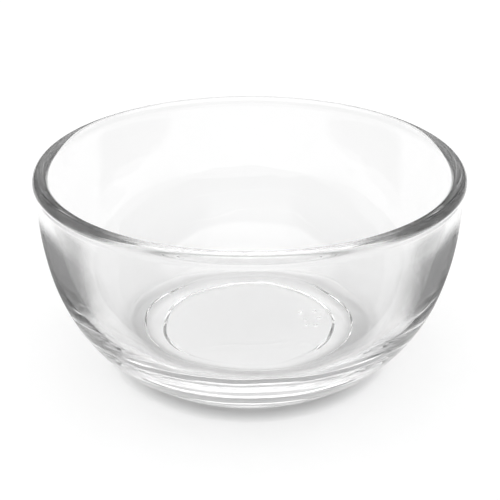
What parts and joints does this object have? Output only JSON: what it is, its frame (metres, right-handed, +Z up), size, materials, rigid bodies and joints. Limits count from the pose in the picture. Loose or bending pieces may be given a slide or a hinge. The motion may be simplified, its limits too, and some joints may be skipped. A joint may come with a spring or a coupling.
{
  "type": "prep bowl",
  "caption": "Small round prep bowl of clear pressed glass, with upright sides, a rounded rim and a low foot.",
  "frame": {"origin": "middle of the plane that the foot stands on", "axes": "+Z up along the bowl's axis of revolution; X and Y are free, because the bowl is round"},
  "size_m": [0.12, 0.12, 0.0585],
  "materials": {
    "clear_glass": "gloss"
  },
  "bodies": {
    "root": {"bowl": "clear_glass"}
  },
  "joints": []
}
